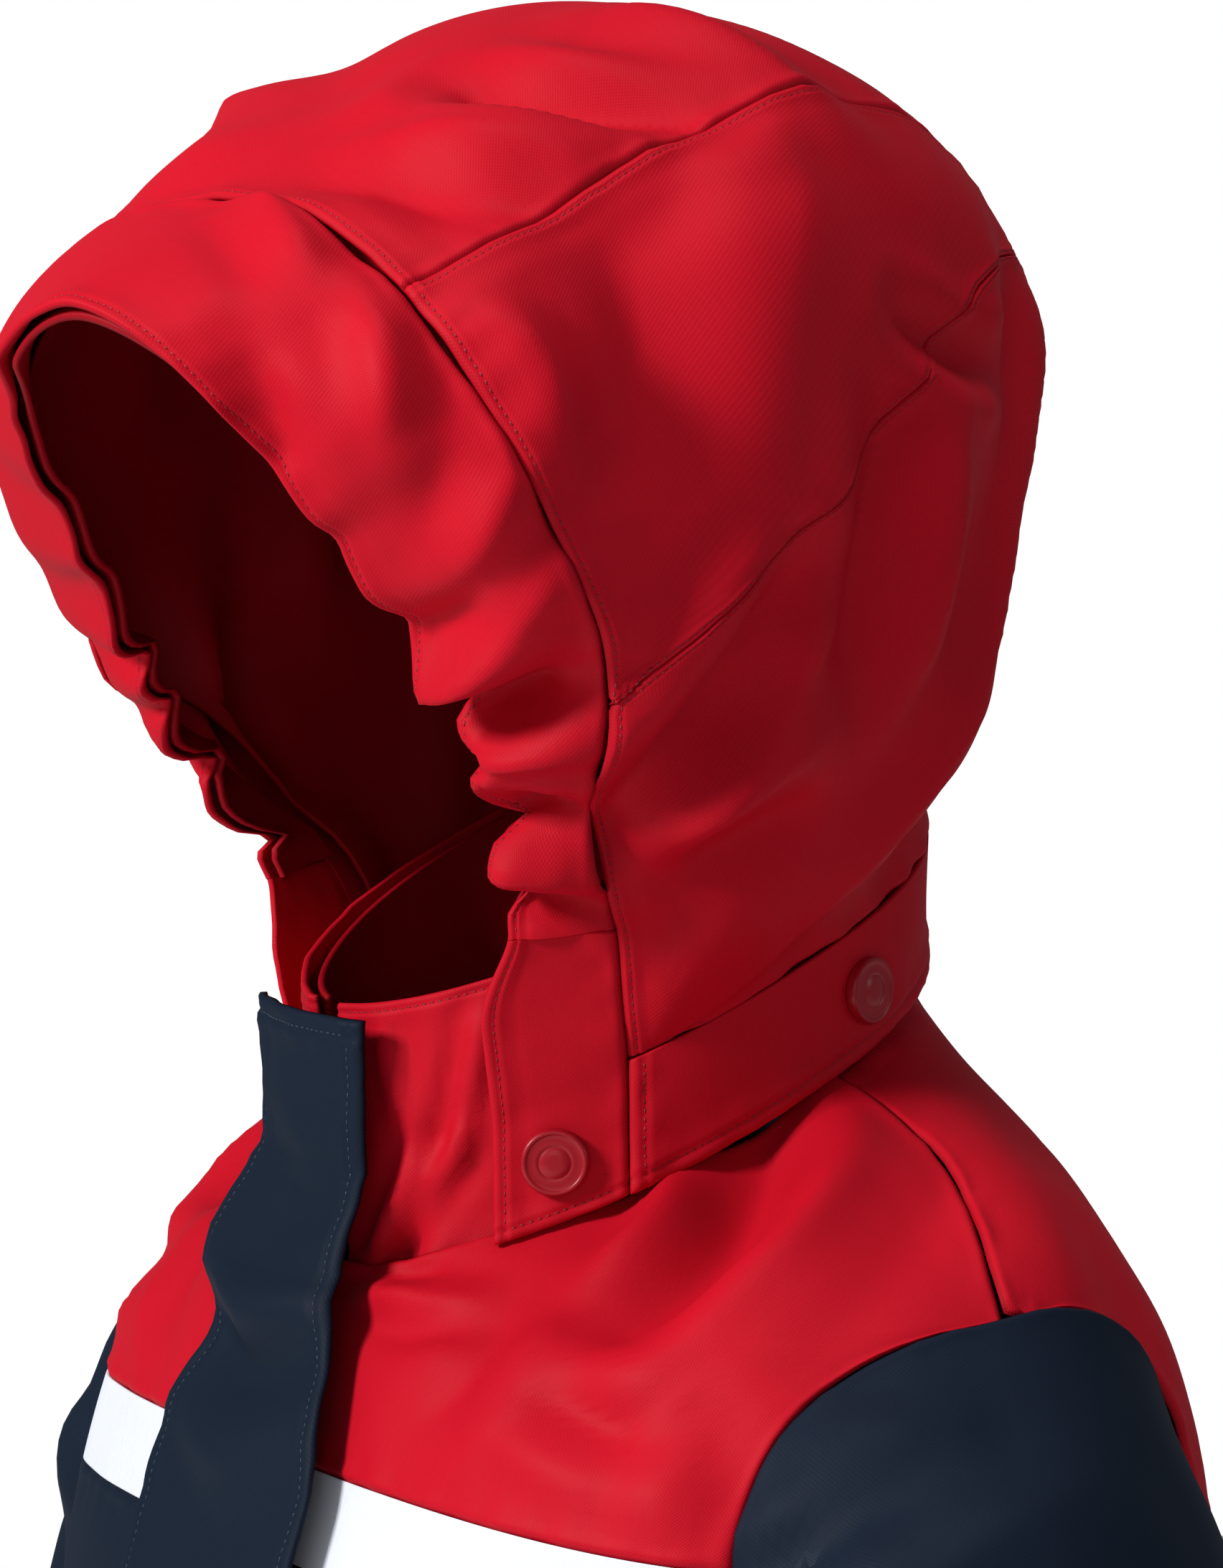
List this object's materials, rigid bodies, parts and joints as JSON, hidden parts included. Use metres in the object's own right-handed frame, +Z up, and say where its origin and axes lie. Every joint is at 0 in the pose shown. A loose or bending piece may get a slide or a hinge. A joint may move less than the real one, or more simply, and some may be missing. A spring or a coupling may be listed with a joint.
{
  "type": "foul weather jacket",
  "caption": "Child's hooded foul weather jacket with a detachable hood, storm flap over the zip, chest stripe, sleeves with cuff tabs and pocket flaps, standing as worn.",
  "frame": {"origin": "on the ground under the middle of the whole jacket", "axes": "+Z up, -Y the jacket's front, +X the wearer's left"},
  "size_m": [0.6262, 0.2674, 0.7307],
  "materials": {
    "red_shell": "close plain weave, matt with a soft sheen",
    "navy_shell": "close plain weave, matt with a soft sheen",
    "white_shell": "close plain weave, matt",
    "red_lining": "smooth lining taffeta",
    "navy_lining": "smooth lining taffeta",
    "red_snap": "glossy moulded cap",
    "brass": "satin",
    "navy_coil": "satin",
    "red_pile": "looped pile",
    "navy_pile": "looped pile"
  },
  "bodies": {
    "jacket": {"body_front_left": "navy_shell", "body_front_right": "navy_shell", "body_back": "navy_shell", "stripe_front_left": "white_shell", "stripe_front_right": "white_shell", "stripe_back": "white_shell", "yoke_front_left": "red_shell", "yoke_front_right": "red_shell", "yoke_back": "red_shell", "lining_front_left": "navy_lining", "lining_front_right": "navy_lining", "lining_back": "navy_lining", "hem_facing": "navy_shell", "collar_outer": "red_shell", "collar_lining": "red_lining", "hanger_loop": "navy_shell", "hood_band": "red_shell", "snap_stud_front_left": "brass", "snap_stud_front_right": "brass", "snap_cap_rear_left": "red_snap", "snap_socket_rear_left": "brass", "snap_stud_rear_left": "brass", "snap_cap_rear_right": "red_snap", "snap_socket_rear_right": "brass", "snap_stud_rear_right": "brass", "flap_loop_strip": "navy_pile", "zip_tape_left": "navy_shell", "zip_teeth_left": "navy_coil", "zip_tape_right": "navy_shell", "zip_teeth_right": "navy_coil", "zip_box": "navy_coil"},
    "hood": {"hood_brim": "red_shell", "hood_brim_facing": "red_lining", "hood_crown_panel": "red_shell", "hood_side_panel_left": "red_shell", "hood_side_panel_right": "red_shell", "hood_neck_panel": "red_shell", "hood_lining": "red_lining", "hood_loop_patch": "red_pile"},
    "volume_tab": {"hood_volume_tab": "red_shell"},
    "front_tab_left": {"hood_front_tab_left": "red_shell", "snap_cap_front_left": "red_snap", "snap_socket_front_left": "brass"},
    "front_tab_right": {"hood_front_tab_right": "red_shell", "snap_cap_front_right": "red_snap", "snap_socket_front_right": "brass"},
    "flap": {"storm_flap": "navy_shell", "flap_hook_strip": "navy_pile"},
    "arm_left": {"sleeve_left": "navy_shell", "sleeve_lining_left": "navy_lining", "cuff_left": "navy_shell"},
    "arm_right": {"sleeve_right": "navy_shell", "sleeve_lining_right": "navy_lining", "cuff_right": "navy_shell"},
    "wrist_tab_left": {"cuff_tab_left": "navy_shell"},
    "wrist_tab_right": {"cuff_tab_right": "navy_shell"},
    "slider": {"zip_slider": "brass", "zip_pull": "brass"},
    "pocket_left": {"pocket_flap_left": "navy_shell"},
    "pocket_right": {"pocket_flap_right": "navy_shell"}
  },
  "joints": [
    {"name": "hood_tip_back", "type": "hinge", "parent": "jacket", "child": "hood", "pos_m": [0, 0.098, 0.53], "axis": [-1, 0, 0], "range_deg": [0, 60]},
    {"name": "volume_tab_lift", "type": "hinge", "parent": "hood", "child": "volume_tab", "pos_m": [-0.02891, 0.1131, 0.66963], "axis": [0.9563, 0.2924, 0], "range_deg": [0, 90]},
    {"name": "front_tab_left_peel", "type": "hinge", "parent": "jacket", "child": "front_tab_left", "pos_m": [0.06298, -0.00809, 0.47445], "axis": [0.1049, -0.1073, 0.9887], "range_deg": [0, 55]},
    {"name": "front_tab_right_peel", "type": "hinge", "parent": "jacket", "child": "front_tab_right", "pos_m": [-0.06298, -0.00809, 0.47445], "axis": [0.0677, 0.1771, -0.9819], "range_deg": [0, 55]},
    {"name": "storm_flap_open", "type": "hinge", "parent": "jacket", "child": "flap", "pos_m": [0.04407, -0.0955, 0.18], "axis": [0, 0.04, 0.9992], "range_deg": [0, 40]},
    {"name": "arm_left_lift", "type": "hinge", "parent": "jacket", "child": "arm_left", "pos_m": [0.14376, 0.04133, 0.45312], "axis": [0, -1, 0], "range_deg": [0, 45]},
    {"name": "arm_right_lift", "type": "hinge", "parent": "jacket", "child": "arm_right", "pos_m": [-0.14376, 0.04133, 0.45312], "axis": [0, 1, 0], "range_deg": [0, 45]},
    {"name": "cuff_tab_left_open", "type": "hinge", "parent": "arm_left", "child": "wrist_tab_left", "pos_m": [0.30605, 0.00409, 0.07951], "axis": [-0.2664, 0.0594, 0.962], "range_deg": [0, 60]},
    {"name": "cuff_tab_right_open", "type": "hinge", "parent": "arm_right", "child": "wrist_tab_right", "pos_m": [-0.30605, 0.00409, 0.07951], "axis": [-0.2664, -0.0594, -0.962], "range_deg": [0, 60]},
    {"name": "zip_slider_run", "type": "slide", "parent": "jacket", "child": "slider", "axis": [0, 0.03, -0.9996], "range_m": [0, 0.018]},
    {"name": "pocket_flap_left_lift", "type": "hinge", "parent": "jacket", "child": "pocket_left", "pos_m": [0.12424, -0.06432, 0.1981], "axis": [-0.7955, -0.6059, 0], "range_deg": [0, 80]},
    {"name": "pocket_flap_right_lift", "type": "hinge", "parent": "jacket", "child": "pocket_right", "pos_m": [-0.12424, -0.06432, 0.1981], "axis": [-0.7955, 0.6059, 0], "range_deg": [0, 80]}
  ]
}
